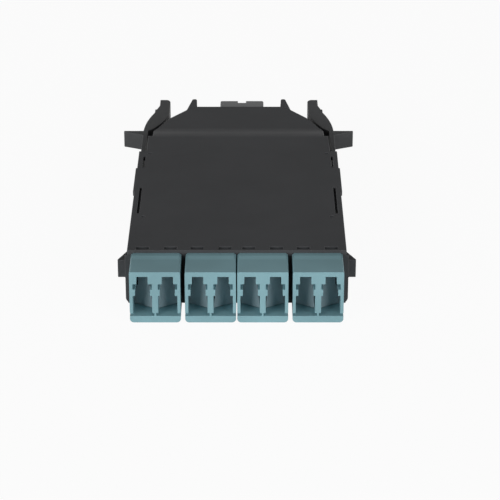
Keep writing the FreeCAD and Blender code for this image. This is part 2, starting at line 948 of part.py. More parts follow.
def build_plug(port_x):
    """A square plug with a slanting latch on top and a tapered tail."""
    half = plug_width / 2
    low = port_axis_z - half
    top = port_axis_z + half
    body = centred_box(port_x, plug_width, plug_nose_y, plug_back_y, low, top)
    tail = cone(port_x, plug_back_y, plug_tail_y, port_axis_z, plug_tail_radius, plug_tail_tip_radius)
    latch_points = [
        (plug_latch_front, top - plug_latch_thickness),
        (plug_latch_front, top),
        (plug_back_y - plug_latch_flat, top + plug_latch_rise),
        (plug_back_y, top + plug_latch_rise),
        (plug_back_y, top + plug_latch_rise - plug_latch_thickness),
        (plug_latch_front + plug_latch_heel, top - plug_latch_thickness),
    ]
    latch_half = plug_latch_width / 2
    latch = side_solid(latch_points, port_x - latch_half, port_x + latch_half)
    return join([body, tail, latch]).cut(plug_cavity(port_x))


# Fibres from the plugs to the fan-out block
def bent_path(points, bend):
    """Straight runs joined by tangent arcs that start the given distance from each corner."""
    edges = []
    start = points[0]
    for before, corner, after in zip(points, points[1:], points[2:]):
        inward = (corner - before).normalize()
        outward = (after - corner).normalize()
        arc_start = corner - inward * bend
        arc_end = corner + outward * bend
        turn = inward.getAngle(outward)
        radius = bend / math.tan(turn / 2)
        sagitta = radius / math.cos(turn / 2) - radius
        middle = corner + (outward - inward).normalize() * sagitta
        edges.append(Part.LineSegment(start, arc_start).toShape())
        edges.append(Part.Arc(arc_start, middle, arc_end).toShape())
        start = arc_end
    edges.append(Part.LineSegment(start, points[-1]).toShape())
    return Part.Wire(edges)


def swept_bar(path, radius):
    """A round bar along a path."""
    first = path.Edges[0]
    start = first.valueAt(first.FirstParameter)
    circle = Part.Circle(start, first.tangentAt(first.FirstParameter), radius)
    return path.makePipeShell([Part.Wire([circle.toShape()])], True, False)


def build_fibre(port_x, fan_x):
    """One buffered fibre from its ferrule to its hole in the fan-out block."""
    first = adapter_middle + ferrule_length + 4 * ferrule_gap + fibre_bore_gap
    turn_d = plug_tail_y + fibre_plug_run + fibre_bend
    fan_turn = fibre_fan_turn + fibre_fan_stagger * abs(fan_x - rear_x)
    points = [
        at(port_x, first, port_axis_z),
        at(port_x, turn_d, port_axis_z),
        at(fan_x, fan_turn, mpo_axis_z),
        at(fan_x, fan_front + fan_hole_depth - fit_gap, mpo_axis_z),
    ]
    return swept_bar(bent_path(points, fibre_bend), fibre_radius)


def fan_positions():
    count = 2 * len(adapter_centres)
    return [rear_x + (index - (count - 1) / 2) * fibre_pitch for index in range(count)]


def build_fan_block():
    """The block where the round cable's fibres part into eight."""
    low = mpo_axis_z - fan_height / 2
    back = fan_front + fan_length
    block = centred_box(rear_x, fan_width, fan_front, back, low, low + fan_height)
    bore = fibre_radius + fibre_bore_gap
    holes = [rod(x, fan_front - 1, fan_front + fan_hole_depth, mpo_axis_z, bore) for x in fan_positions()]
    cable_hole = rod(rear_x, back - tube_hole_depth, back + 1, mpo_axis_z, tube_radius + fibre_bore_gap)
    return block.cut(holes + [cable_hole])


# Rear multi-fibre adapter and its internal plug, drawn about X = 0 and moved to rear_x when saved
def build_mpo_adapter():
    """A square tube with a flange, and a keyway in its roof that is notched through at the mouth."""
    low = mpo_axis_z - mpo_height / 2
    high = low + mpo_height
    half = mpo_width / 2
    outer = centred_box(0, mpo_width, mpo_front, mpo_back, low, high)
    corners = [(x, z) for x in (-half, half) for z in (low, high)]
    outer = outer.makeFillet(mpo_edge, edges_along_y(outer, corners))
    flange_low = mpo_axis_z - mpo_flange_height / 2
    flange_back = mpo_flange_y + mpo_flange_length
    flange = centred_box(
        0, mpo_flange_width, mpo_flange_y, flange_back, flange_low, flange_low + mpo_flange_height
    )
    inner_width = mpo_width - 2 * mpo_wall
    hollow = centred_box(0, inner_width, mpo_front - 1, mpo_back + 1, low + mpo_wall, high - mpo_wall)
    groove_top = high - mpo_wall + keyway_depth
    groove = centred_box(0, keyway_width, mpo_back - keyway_length, mpo_back + 1, mpo_axis_z, groove_top)
    notch = centred_box(0, keyway_width, mpo_back - keyway_notch, mpo_back + 1, mpo_axis_z, high + 1)
    return join([outer, flange]).cut([hollow, groove, notch])


def build_latch_insert(facing):
    """A plate at the adapter's middle with two hooked arms; facing is +1 towards the rear mouth."""
    half = mpo_width / 2 - mpo_wall - insert_gap
    half_height = mpo_height / 2 - mpo_wall - insert_gap
    mouth = mpo_back if facing > 0 else mpo_front
    reach = abs(mouth - mpo_meet) - insert_mouth_gap
    start = insert_gap / 2

    def along(near, far):
        return sorted((mpo_meet + facing * near, mpo_meet + facing * far))

    d0, d1 = along(start, start + insert_plate)
    plate = centred_box(0, 2 * half, d0, d1, mpo_axis_z - half_height, mpo_axis_z + half_height)
    gate_low = mpo_axis_z - insert_window_height / 2
    gate_high = gate_low + insert_window_height
    gate = centred_box(0, insert_window_width, d0 - 1, d1 + 1, gate_low, gate_high)
    arm_low = mpo_axis_z - insert_arm_height / 2
    arm_high = arm_low + insert_arm_height
    a0, a1 = along(start, reach)
    arm = box(half - insert_arm, half, a0, a1, arm_low, arm_high)
    h0, h1 = along(reach - insert_hook_length, reach)
    hook = box(half - insert_arm - insert_hook, half, h0, h1, arm_low, arm_high)
    return join([plate.cut(gate)] + both_sides(arm) + both_sides(hook))


def guide_pin_places():
    return (-guide_pin_pitch / 2, guide_pin_pitch / 2)


def build_mpo_ferrule():
    """The flat ferrule block with its two guide-pin holes."""
    low = mpo_axis_z - ferrule_block_height / 2
    d0 = mpo_meet - ferrule_block_length
    block = centred_box(0, ferrule_block_width, d0, mpo_meet, low, low + ferrule_block_height)
    bore = guide_pin_radius + ferrule_gap
    return block.cut([rod(x, d0 - 1, mpo_meet + 1, mpo_axis_z, bore) for x in guide_pin_places()])


def build_guide_pins():
    end = mpo_meet + guide_pin_reach
    start = end - guide_pin_length
    return Part.makeCompound([rod(x, start, end, mpo_axis_z, guide_pin_radius) for x in guide_pin_places()])


def build_mpo_plug():
    """The internal plug: a slim nose inside the adapter and a square grip outside it."""
    nose_low = mpo_axis_z - nose_height / 2
    grip_low = mpo_axis_z - shroud_height / 2
    nose = centred_box(0, nose_width, shroud_back - 1, nose_end, nose_low, nose_low + nose_height)
    grip = centred_box(0, shroud_width, shroud_front, shroud_back, grip_low, grip_low + shroud_height)
    half = shroud_width / 2
    corners = [(x, z) for x in (-half, half) for z in (grip_low, grip_low + shroud_height)]
    grip = grip.makeFillet(mpo_edge, edges_along_y(grip, corners))
    seat_width = ferrule_block_width + fit_gap
    seat_height = ferrule_block_height + fit_gap
    seat_low = mpo_axis_z - seat_height / 2
    seat = centred_box(0, seat_width, ferrule_seat_front, nose_end + 1, seat_low, seat_low + seat_height)
    cable_bore = rod(0, shroud_front - 1, ferrule_seat_front + 1, mpo_axis_z, tube_radius + fibre_bore_gap)
    notch_back = mpo_front + insert_mouth_gap + insert_hook_length + fit_gap
    notch_x = mpo_width / 2 - mpo_wall - insert_gap - insert_arm - insert_hook - fit_gap
    notch_low = mpo_axis_z - insert_arm_height / 2 - fit_gap
    notch_high = mpo_axis_z + insert_arm_height / 2 + fit_gap
    notch = box(notch_x, nose_width, shroud_back, notch_back, notch_low, notch_high)
    return join([nose, grip]).cut([seat, cable_bore] + both_sides(notch))


def build_mpo_boot():
    """The tapered sleeve behind the internal plug."""
    sleeve = cone(0, boot_front, shroud_front, mpo_axis_z, boot_tip_radius, boot_radius)
    return sleeve.cut(rod(0, boot_front - 1, shroud_front + 1, mpo_axis_z, tube_radius + fibre_bore_gap))


def build_cable():
    """The short round cable from the fan-out block to the flat ferrule."""
    start = fan_front + fan_length - tube_hole_depth + fit_gap
    return rod(0, start, ferrule_seat_front + nose_end_gap / 2, mpo_axis_z, tube_radius)


# Latch levers, modelled on the +X side
def lever_plan():
    """The lever in plan: straight blade, inward bend with its web, and thumb pad."""

    def spot(x, distance):
        return at(x, distance, lever_bottom)

    outer_start = spot(blade_outer, bend_start)
    outer_middle = spot(blade_outer - bend_bulge, (bend_start + bend_end) / 2)
    outer_end = spot(bend_end_x, bend_end)
    curve = pad_corner * (1 - math.sqrt(0.5))
    curve_length = pad_corner_length * (1 - math.sqrt(0.5))
    corner_start = spot(pad_inner_x + pad_corner, pad_end)
    corner_middle = spot(pad_inner_x + curve, pad_end - curve_length)
    corner_end = spot(pad_inner_x, pad_end - pad_corner_length)
    front_outer = spot(blade_outer, pivot_y)
    straights = [
        outer_end,
        spot(bend_end_x, bend_end + nub_length),
        spot(bend_end_x - nub_step, bend_end + nub_length),
        spot(pad_outer_x, pad_start),
        spot(pad_outer_x, pad_end),
        corner_start,
    ]
    inner_side = [corner_end] + [spot(x, distance) for x, distance in lever_web()]
    inner_side += [spot(blade_inner, web_start), spot(blade_inner, pivot_y), front_outer, outer_start]
    edges = [Part.Arc(outer_start, outer_middle, outer_end).toShape()]
    edges += [Part.LineSegment(*pair).toShape() for pair in zip(straights, straights[1:])]
    edges.append(Part.Arc(corner_start, corner_middle, corner_end).toShape())
    edges += [Part.LineSegment(*pair).toShape() for pair in zip(inner_side, inner_side[1:])]
    return Part.Face(Part.Wire(edges))


def lever_web():
    """The web's inner edge, rear to front, which clears the base's walls when pressed."""
    wall_run = shoulder_y - inner_wall_rear_y
    share = (web_corner_y - inner_wall_rear_y) / wall_run
    wall_x = inner_wall_x(inner_wall_rear_y)
    web_corner_x = wall_x + (shoulder_wall_x - wall_x) * share + press_room(web_corner_y)
    shoulder_x = shoulder_wall_x + press_room(shoulder_y)
    root_x = prong_root_half_width + press_room(prong_root_y)
    pad_share = (shoulder_x - pad_inner_x) / (shoulder_x - root_x)
    pad_root_y = shoulder_y + (prong_root_y - shoulder_y) * pad_share
    return [(pad_inner_x, pad_root_y), (shoulder_x, shoulder_y), (web_corner_x, web_corner_y)]


def barb():
    """The barb that locks behind a tray's rail: a ramp in front and a flat face behind."""
    root = blade_outer - blade_thickness / 2
    points = [
        (root, barb_ramp_start),
        (blade_outer, barb_ramp_start),
        (barb_reach, barb_face - barb_tip_length),
        (barb_reach, barb_face),
        (root, barb_face),
    ]
    return plan_solid(points, tab_bottom, tab_top)


def build_lever():
    blade = lever_plan().extrude(Vector(0, 0, lever_top - lever_bottom))
    eye = post(pivot_x, pivot_y, lever_bottom, lever_top, eye_radius)
    room = post(pivot_x, pivot_y, spring_room_low, spring_room_high, spring_room_radius)
    bore = pivot_hole(0, body_height, pivot_gap)
    return join([blade, eye, barb()]).cut([room, bore])


def build_pivot_pin():
    low = floor_thickness - pivot_seat_depth + ferrule_gap
    high = cover_under + pivot_seat_depth - ferrule_gap
    return post(pivot_x, pivot_y, low, high, pivot_radius)


# Lever springs, modelled on the +X side
def wire_length(points):
    """Straight lengths of spring wire with a round knuckle where each begins."""
    pieces = []
    for start, end in zip(points, points[1:]):
        run = end - start
        pieces.append(Part.makeCylinder(wire_radius, run.Length, start, run))
    for knuckle in points[:-1]:
        pieces.append(Part.makeSphere(wire_knuckle_radius, knuckle))
    return pieces


def coil_point(angle, z):
    """A point on the coil's centre line, by its angle from +X."""
    turn = math.radians(angle)
    across = pivot_x + coil_radius * math.cos(turn)
    along = pivot_y + coil_radius * math.sin(turn)
    return at(across, along, z)


def wire_section():
    """The coil's section: a polygon with few sides, so that the coil's mesh stays light."""
    step = 2 * math.pi / wire_sides
    corners = []
    for index in range(wire_sides):
        across = coil_radius + wire_radius * math.cos(index * step)
        corners.append(Vector(across, 0, wire_radius * math.sin(index * step)))
    return Part.makePolygon(corners + corners[:1])


def build_spring():
    """A torsion spring round the pin: one arm lies on the blade, one beside the inner wall."""
    turns = coil_turns + (coil_end_angle - coil_start_angle) / 360
    height = turns * coil_pitch
    low = (spring_room_low + spring_room_high - height) / 2
    helix = Part.Wire(Part.makeHelix(coil_pitch, height, coil_radius).Edges)
    coil = helix.makePipeShell([wire_section()], True, True)
    coil.rotate(Vector(0, 0, 0), Vector(0, 0, 1), coil_start_angle)
    coil.translate(at(pivot_x, pivot_y, low))
    arm_x = blade_inner - wire_radius - pivot_gap
    arm_start = coil_point(coil_end_angle, low + height)
    high = low + height
    arm = [arm_start, at(arm_x, pivot_y + arm_bend, high), at(arm_x, pivot_y + spring_arm, high)]
    tail_x = wall_outer_face(pivot_y + spring_tail) + wire_radius + spring_tail_gap
    tail = [coil_point(coil_start_angle, low), at(tail_x, pivot_y + spring_tail, low)]
    return join([coil] + wire_length(arm) + wire_length(tail))


def wall_outer_face(distance):
    return rear_wall_face(distance) + inner_wall


def write(name, shape):
    """Save one node, after checking that it is sound."""
    assert shape.isValid(), name
    solids = shape.Solids
    assert solids, name
    whole = solids[0] if len(solids) == 1 else Part.makeCompound(solids)
    whole.exportStep(os.path.join("parts", name + ".step"))


def build_all():
    os.makedirs("parts", exist_ok=True)
    write("base_shell", build_base())
    write("top_cover", build_cover())
    port = 0
    fan_x = fan_positions()
    for number, centre in enumerate(adapter_centres, 1):
        write(f"duplex_adapter_{number}", build_adapter(centre))
        for side in (-1, 1):
            port += 1
            port_x = centre + side * port_pitch / 2
            write(f"port_shutter_{port}", build_shutter(port_x, side))
            write(f"split_sleeve_{port}", build_sleeve(port_x))
            write(f"plug_body_{port}", build_plug(port_x))
            write(f"plug_ferrule_{port}", build_ferrule(port_x))
            write(f"fibre_{port}", build_fibre(port_x, fan_x[port - 1]))
    write("fan_out_block", build_fan_block())
    rear_line = {
        "round_cable": build_cable(),
        "multi_fibre_adapter": build_mpo_adapter(),
        "rear_latch_insert": build_latch_insert(1),
        "inner_latch_insert": build_latch_insert(-1),
        "multi_fibre_plug": build_mpo_plug(),
        "multi_fibre_ferrule": build_mpo_ferrule(),
        "guide_pins": build_guide_pins(),
        "plug_boot": build_mpo_boot(),
    }
    for name, shape in rear_line.items():
        write(name, moved(shape, rear_x))
    lever = build_lever()
    spring = build_spring()
    write("latch_lever_right", lever)
    write("latch_lever_left", flip(lever))
    write("lever_spring_right", spring)
    write("lever_spring_left", flip(spring))
    write("pivot_pins", Part.makeCompound(both_sides(build_pivot_pin())))


build_all()
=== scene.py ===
import json
import math

import bmesh
import bpy
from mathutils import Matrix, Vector


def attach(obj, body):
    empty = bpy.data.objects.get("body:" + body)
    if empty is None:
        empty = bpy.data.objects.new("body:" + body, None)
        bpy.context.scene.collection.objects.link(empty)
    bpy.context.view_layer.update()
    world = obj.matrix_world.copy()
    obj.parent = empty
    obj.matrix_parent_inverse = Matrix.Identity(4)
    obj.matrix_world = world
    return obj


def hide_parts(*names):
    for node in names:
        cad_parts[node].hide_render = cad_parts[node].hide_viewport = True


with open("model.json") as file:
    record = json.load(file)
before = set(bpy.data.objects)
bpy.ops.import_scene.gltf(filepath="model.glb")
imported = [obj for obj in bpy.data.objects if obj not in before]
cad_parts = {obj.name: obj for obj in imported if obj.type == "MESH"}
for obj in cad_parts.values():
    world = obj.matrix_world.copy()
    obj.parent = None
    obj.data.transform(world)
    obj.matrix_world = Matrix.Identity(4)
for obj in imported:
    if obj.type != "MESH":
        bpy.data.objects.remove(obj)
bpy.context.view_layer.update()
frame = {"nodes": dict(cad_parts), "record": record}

# The looks of a fibre cassette: a charcoal moulded housing, four aqua duplex adapters across
# the front, a grey multi-fibre adapter at the rear, and the fibre harness inside. Metres.
MM = 0.001
SAME_PLACE = 0.02 * MM

# How a solid's mesh is cleaned and its edges are softened: angles in degrees
DOUBLES_WITHIN = 1e-6
FLAT_BELOW = 0.5
ROUNDED_ABOVE = 35
SHARP_ABOVE = 40

# Places repeated from the part's source, depth counted from the plane of the adapter mouths
FRONT_Y = -61.55 * MM
OUTER_ADAPTER_X = 20.13 * MM
INNER_ADAPTER_X = 6.45 * MM
PORT_PITCH = 6.25 * MM
ADAPTERS = range(1, 5)
PORTS = range(1, 9)

# The low pad on an adapter's roof, whose front rises in a slope
PAD_FRONT_Y = FRONT_Y + 7.46 * MM
PAD_TOP_Z = 13.98 * MM
PAD_SLOPE = 1.6 * MM

# Sizes repeated from the part's source: the split sleeves
SLEEVE_RADIUS = 0.722 * MM
SLEEVE_WALL = 0.156 * MM
SLEEVE_SLIT = 0.25 * MM
SLEEVE_LENGTH = 6.8 * MM
SLEEVE_Y = FRONT_Y + 14.5 * MM
SLEEVE_Z = 4.7 * MM
SLEEVE_TURN = (math.radians(-90), math.radians(-90), 0)

# The lever springs on the right side, with their angles in degrees
PIVOT_X = 25.6 * MM
PIVOT_Y = FRONT_Y + 57.0 * MM
SPRING_MIDDLE_Z = 6.8 * MM
WIRE_RADIUS = 0.15 * MM
WIRE_SIDES = 12
COIL_RADIUS = 1.15 * MM
COIL_PITCH = 0.42 * MM
COIL_TURNS = 3
COIL_START = 180
COIL_END = 385
COIL_STEP = 20
TAIL_X = 23.99 * MM
TAIL_RUN = 4.4 * MM
ARM_X = 25.85 * MM
ARM_BEND = 2.2 * MM
ARM_RUN = 7.5 * MM


# Shader maths

OBJECT_COORDS = 3
CAMERA_RAY = 0
GLOSSY_RAY = 3
TRANSMISSION_RAY = 6


class Signal:
    """One socket of a shader tree; arithmetic on it adds Math nodes."""

    def __init__(self, tree, socket=None):
        self.tree = tree
        self.socket = socket

    def node(self, kind, settings, inputs, output=0):
        """Adds any node: its settings first, then the values or links of its sockets."""
        made = self.tree.nodes.new(kind)
        for name, value in settings.items():
            if name == "stops":
                set_stops(made.color_ramp, value)
            else:
                setattr(made, name, value)
        for name, value in inputs.items():
            if isinstance(value, Signal):
                self.tree.links.new(value.socket, made.inputs[name])
            else:
                made.inputs[name].default_value = value
        return Signal(self.tree, made.outputs[output])

    def math(self, operation, first, second):
        return self.node("ShaderNodeMath", {"operation": operation}, {0: first, 1: second})

    def __add__(self, other):
        return self.math("ADD", self, other)

    def __sub__(self, other):
        return self.math("SUBTRACT", self, other)

    def __rsub__(self, other):
        return self.math("SUBTRACT", other, self)

    def __mul__(self, other):
        return self.math("MULTIPLY", self, other)

    __radd__ = __add__
    __rmul__ = __mul__


def set_stops(band, stops):
    """Gives a colour ramp two stops, each a position and a grey value."""
    for element, (place, value) in zip(band.elements, stops):
        element.position = place
        element.color = (value, value, value, 1)


def noise(start, coords, scale, detail=2.0, roughness=0.5):
    """Plain noise between 0 and 1, its scale in waves per metre."""
    inputs = {"Vector": coords, "Scale": scale, "Detail": detail, "Roughness": roughness}
    return start.node("ShaderNodeTexNoise", {}, inputs)


def ramp(value, stops):
    """A value spread between two stops."""
    return value.node("ShaderNodeValToRGB", {"stops": stops}, {0: value})


def object_coords(start):
    """The piece's own coordinates, in metres, which move with it."""
    return start.node("ShaderNodeTexCoord", {}, {}, OBJECT_COORDS)


def stretched_along(start, coords, share):
    """Coordinates that draw a pattern out along the depth."""
    return start.node("ShaderNodeMapping", {}, {"Vector": coords, "Scale": (1.0, share, 1.0)})


def mix(amount, first, second):
    """A colour between two colours."""
    settings = {"data_type": "RGBA", "clamp_factor": True}
    return amount.node("ShaderNodeMix", settings, {0: amount, 6: first, 7: second}, 2)


def shade(colour, by):
    """The same colour, lighter or darker."""
    return tuple(min(1.0, part * by) for part in colour[:3]) + (1.0,)


def srgb(red, green, blue):
    """A linear colour from 0 to 255 screen values."""
    parts = []
    for value in (red, green, blue):
        value /= 255
        parts.append(value / 12.92 if value <= 0.04045 else ((value + 0.055) / 1.055) ** 2.4)
    return tuple(parts) + (1.0,)


def new_material(name, metallic=0.0, coat=0.0, specular=0.5):
    """A material with its shader, and a Signal to start its nodes from."""
    material = bpy.data.materials.new(name)
    material.use_nodes = True
    tree = material.node_tree
    shader = tree.nodes["Principled BSDF"]
    shader.inputs["Metallic"].default_value = metallic
    shader.inputs["Coat Weight"].default_value = coat
    shader.inputs["Specular IOR Level"].default_value = specular
    return material, shader, Signal(tree)


def finish_surface(shader, start, colour, roughness, height, depth):
    """Links what varies: colour, roughness, and a bump of the given depth in metres."""
    bump = start.node("ShaderNodeBump", {}, {"Height": height, "Distance": depth, "Strength": 1.0})
    start.tree.links.new(colour.socket, shader.inputs["Base Color"])
    start.tree.links.new(roughness.socket, shader.inputs["Roughness"])
    start.tree.links.new(bump.socket, shader.inputs["Normal"])


def moulded_plastic(name, colour, roughness, grain_scale, edge_light, specular=0.5, grain_depth=5e-6):
    """Moulded plastic: a fine eroded grain, faint clouding from the melt and rubbed edges."""
    material, shader, start = new_material(name, specular=specular)
    coords = object_coords(start)
    grain = noise(start, coords, grain_scale, detail=3.0, roughness=0.6)
    cloud = noise(start, coords, 60.0, detail=3.0)
    rub = noise(start, coords, 450.0, detail=4.0, roughness=0.7)
    rim = start.node("ShaderNodeAttribute", {"attribute_name": "rim"}, {}, 2)
    worn = rim * ramp(rub, [(0.3, 0.25), (0.7, 1.0)])
    mottled = mix(ramp(cloud, [(0.35, 0.0), (0.65, 1.0)]), shade(colour, 0.93), shade(colour, 1.06))
    tone = mix(worn, mottled, shade(colour, edge_light))
    dull = roughness - 0.06 + grain * 0.1 + cloud * 0.08 - rim * 0.1
    finish_surface(shader, start, tone, dull, grain, grain_depth)
    return material


def drawn_steel(name, colour, line_scale):
    """Bright drawn or ground steel, with fine lines along the piece."""
    material, shader, start = new_material(name, metallic=1.0)
    coords = object_coords(start)
    stretched = stretched_along(start, coords, 0.05)
    lines = noise(start, stretched, line_scale, detail=4.0, roughness=0.65)
    smudge = noise(start, coords, 300.0, detail=2.0)
    tone = mix(lines, shade(colour, 0.8), shade(colour, 1.12))
    finish_surface(shader, start, tone, 0.2 + lines * 0.18 + smudge * 0.1, lines, depth=2e-6)
    return material


def glazed_ceramic(name, colour):
    """Polished white ceramic with the faintest speckle."""
    material, shader, start = new_material(name, coat=0.4)
    coords = object_coords(start)
    speck = noise(start, coords, 5000.0, detail=3.0)
    cloud = noise(start, coords, 700.0, detail=2.0)
    tone = mix(cloud, shade(colour, 0.95), colour)
    finish_surface(shader, start, tone, 0.12 + speck * 0.12, speck, depth=1e-6)
    return material


def soft_rubber(name, colour):
    """Dull rubber with a dusty bloom in patches."""
    material, shader, start = new_material(name, specular=0.35)
    coords = object_coords(start)
    grain = noise(start, coords, 3500.0, detail=4.0, roughness=0.7)
    bloom = ramp(noise(start, coords, 180.0, detail=4.0, roughness=0.6), [(0.45, 0.0), (0.7, 1.0)])
    tone = mix(bloom, colour, shade(colour, 1.5))
    finish_surface(shader, start, tone, 0.7 + bloom * 0.15 + grain * 0.08, grain, depth=1.5e-5)
    return material


def cable_jacket(name, colour):
    """An extruded jacket: glossy, with faint draw lines and a slow change of tone."""
    material, shader, start = new_material(name, coat=0.1)
    coords = object_coords(start)
    stretched = stretched_along(start, coords, 0.08)
    lines = noise(start, stretched, 6000.0, detail=3.0)
    drift = noise(start, coords, 90.0, detail=2.0)
    tone = mix(drift, shade(colour, 0.88), shade(colour, 1.1))
    finish_surface(shader, start, tone, 0.34 + lines * 0.14, lines, depth=4e-6)
    return material


# The pieces' colours, in screen values; the shutters' colour also holds painted light
CHARCOAL = srgb(74, 75, 77)
LEVER_CHARCOAL = srgb(83, 84, 85)
AQUA = srgb(132, 170, 178)
# The shutters' aqua is lighter and greyer than the adapters' aqua: painted light, standing in for light that
# reaches the leaves deep in the ports
SHUTTER_AQUA_PAINTED_LIGHT = srgb(146, 166, 173)
REAR_GREY = srgb(142, 143, 144)
PLUG_BEIGE = srgb(214, 206, 188)
FIBRE_AQUA = srgb(60, 176, 182)
CABLE_AQUA = srgb(52, 168, 176)
CERAMIC_WHITE = srgb(240, 238, 230)
SPRING_STEEL = srgb(196, 196, 198)
PIN_STEEL = srgb(190, 191, 194)
BOOT_BLACK = srgb(38, 38, 40)

# One finish for each material slot of the record
FINISHES = {
    "housing_black": moulded_plastic(
        "charcoal_housing", CHARCOAL, roughness=0.46, grain_scale=5200.0, edge_light=1.25, specular=0.08),
    "lever_black": moulded_plastic(
        "charcoal_lever", LEVER_CHARCOAL, roughness=0.46, grain_scale=5200.0, edge_light=1.3, specular=0.08),
    "aqua_plastic": moulded_plastic(
        "aqua_adapter", AQUA, roughness=0.42, grain_scale=6500.0, edge_light=1.12, specular=0.2),
    # The shutters' finish is lightened with painted light, to brighten the leaves deep in the ports
    "shutter_plastic": moulded_plastic(
        "aqua_shutter_painted_light", SHUTTER_AQUA_PAINTED_LIGHT, roughness=0.48, grain_scale=6500.0, edge_light=1.12, specular=0.2),
    "grey_plastic": moulded_plastic(
        "grey_adapter", REAR_GREY, roughness=0.5, grain_scale=6000.0, edge_light=1.2, specular=0.2,
        grain_depth=8e-6),
    "plug_beige": moulded_plastic(
        "beige_plug", PLUG_BEIGE, roughness=0.45, grain_scale=6500.0, edge_light=1.05),
    "fibre_aqua": cable_jacket("fibre_jacket", FIBRE_AQUA),
    "cable_aqua": cable_jacket("cable_jacket", CABLE_AQUA),
    "ceramic_white": glazed_ceramic("white_ceramic", CERAMIC_WHITE),
    "spring_steel": drawn_steel("spring_wire", SPRING_STEEL, line_scale=9000.0),
    "pin_steel": drawn_steel("ground_pin", PIN_STEEL, line_scale=7000.0),
    "boot_rubber": soft_rubber("black_rubber", BOOT_BLACK),
}
BODIES = frame["record"]["behaviour"]["bodies"]
SLOT_OF = {entry["node"]: entry["material_slot"] for entry in frame["record"]["subparts"]}
BODY_OF = {node: body for body, nodes in BODIES.items() for node in nodes}


# Moulded pieces

def merged_copy(node):
    """A CAD node's mesh with its doubles merged and its flats made whole again."""
    bm = bmesh.new()
    bm.from_mesh(frame["nodes"][node].data)
    bmesh.ops.remove_doubles(bm, verts=bm.verts, dist=DOUBLES_WITHIN)
    bmesh.ops.dissolve_limit(bm, angle_limit=math.radians(FLAT_BELOW), verts=bm.verts[:], edges=bm.edges[:])
    return bm


def round_edges(bm, radius):
    """Rounds every sharp edge and marks the new faces as rim, which the plastics read."""
    rim = bm.faces.layers.float.new("rim")
    sharpest = math.radians(ROUNDED_ABOVE)
    edges = [edge for edge in bm.edges if edge.is_manifold and edge.calc_face_angle() > sharpest]
    rounded = bmesh.ops.bevel(
        bm, geom=edges, offset=radius, offset_type="OFFSET", segments=2, profile=0.5,
        affect="EDGES", clamp_overlap=False,
    )
    for face in rounded["faces"]:
        face[rim] = 1.0


def as_mesh(bm, name, finish):
    """A mesh in one finish; the working copy is freed."""
    mesh = bpy.data.meshes.new(name)
    bm.to_mesh(mesh)
    bm.free()
    mesh.materials.append(FINISHES[finish])
    return mesh


def as_piece(name, data):
    """An object at the origin, in the scene."""
    piece = bpy.data.objects.new(name, data)
    bpy.context.collection.objects.link(piece)
    return piece


def evened(piece):
    """The piece with soft corners, and flats that shade flat."""
    piece.data.shade_smooth()
    piece.data.set_sharp_from_angle(angle=math.radians(SHARP_ABOVE))
    weighted = piece.modifiers.new("even_flats", "WEIGHTED_NORMAL")
    weighted.keep_sharp = True
    return made_plain(piece)


def made_plain(piece):
    """The piece with its modifiers worked into its mesh."""
    evaluated = piece.evaluated_get(bpy.context.evaluated_depsgraph_get())
    mesh = bpy.data.meshes.new_from_object(evaluated)
    piece.modifiers.clear()
    piece.data = mesh
    mesh.name = piece.name
    return piece


def declare(piece, nodes):
    """The piece stands for CAD nodes that share a finish and a body."""
    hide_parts(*nodes)
    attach(piece, BODY_OF[nodes[0]])


def moulded(node, name, radius, change=None):
    """A piece with rounded edges that stands for one CAD node."""
    bm = merged_copy(node)
    if change:
        change(bm)
    round_edges(bm, radius)
    declare(evened(as_piece(name, as_mesh(bm, name, SLOT_OF[node]))), [node])


def sloped_pad(bm):
    """Draws the step in front of the roof pad out into a gentle slope."""
    for vert in bm.verts:
        if abs(vert.co.y - PAD_FRONT_Y) < SAME_PLACE and abs(vert.co.z - PAD_TOP_Z) < SAME_PLACE:
            vert.co.y += PAD_SLOPE


MOULDED_PIECES = (
    ("top_cover", "cover", 0.14 * MM),
    ("base_shell", "lower_shell", 0.12 * MM),
    ("latch_lever_left", "left_lever", 0.16 * MM),
    ("latch_lever_right", "right_lever", 0.16 * MM),
    ("multi_fibre_adapter", "rear_adapter", 0.12 * MM),
    ("rear_latch_insert", "rear_insert", 0.06 * MM),
    ("inner_latch_insert", "inner_insert", 0.06 * MM),
    ("multi_fibre_plug", "trunk_plug", 0.12 * MM),
    ("multi_fibre_ferrule", "flat_ferrule", 0.06 * MM),
    ("fan_out_block", "fan_block", 0.12 * MM),
)
for node, name, radius in MOULDED_PIECES:
    moulded(node, name, radius)
for number in ADAPTERS:
    moulded(f"duplex_adapter_{number}", f"adapter_{number}", 0.07 * MM, sloped_pad)
for number in PORTS:
    moulded(f"port_shutter_{number}", f"shutter_{number}", 0.04 * MM)


# Geometry Nodes: the pieces behind the ports, repeated in one row, and the springs' wire

